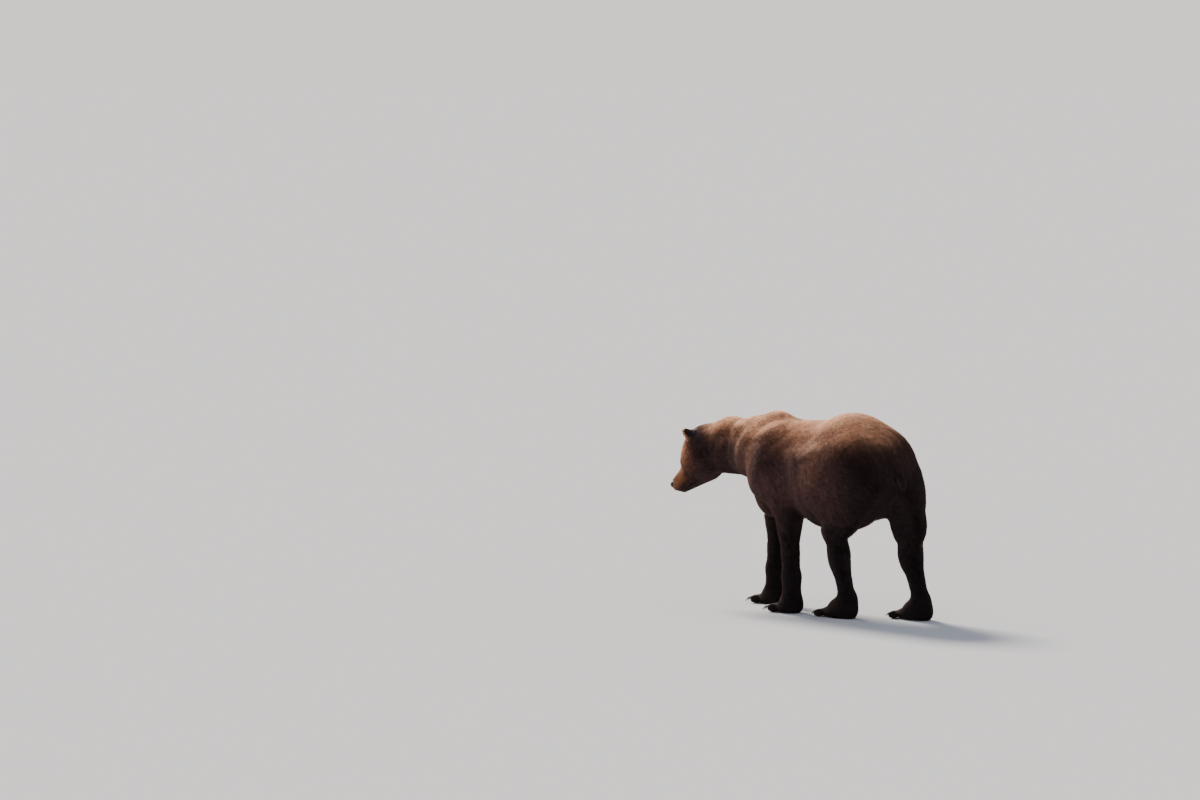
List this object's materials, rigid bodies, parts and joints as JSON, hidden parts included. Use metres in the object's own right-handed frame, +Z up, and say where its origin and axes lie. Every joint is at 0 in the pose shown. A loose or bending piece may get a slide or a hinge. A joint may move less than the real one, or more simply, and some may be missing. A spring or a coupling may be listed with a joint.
{
  "type": "grizzly bear, still life-size museum model",
  "caption": "Life-size brown bear standing mid-stride on its soles with its head held low, a shaggy shoulder hump, a dished face and round ears.",
  "frame": {"origin": "on the floor, under the middle of the bounding box", "axes": "+X the way the bear walks, +Y its left, +Z up"},
  "size_m": [1.932, 0.5986, 1.1627],
  "materials": {
    "body_coat": "dense reddish-brown fur, golden at the tips along the back",
    "face_coat": "short brown fur, paler on the forehead and muzzle",
    "leg_coat": "short dark brown fur",
    "skin": "matte dark skin under the fur",
    "nose_skin": "moist, finely grained black-brown skin",
    "eye": "dark brown, wet gloss",
    "claw": "horn, dark at the root and paler to the tip"
  },
  "bodies": {
    "root": {"head": "face_coat", "nose": "nose_skin", "left_eye": "eye", "right_eye": "eye", "left_ear": "face_coat", "right_ear": "face_coat", "neck": "body_coat", "chest": "body_coat", "belly": "body_coat", "rump": "body_coat", "tail": "body_coat", "left_shoulder": "body_coat", "left_forearm": "leg_coat", "left_forepaw": "leg_coat", "right_shoulder": "body_coat", "right_forearm": "leg_coat", "right_forepaw": "leg_coat", "left_thigh": "body_coat", "left_shank": "leg_coat", "left_hindpaw": "leg_coat", "right_thigh": "body_coat", "right_shank": "leg_coat", "right_hindpaw": "leg_coat"}
  },
  "joints": []
}
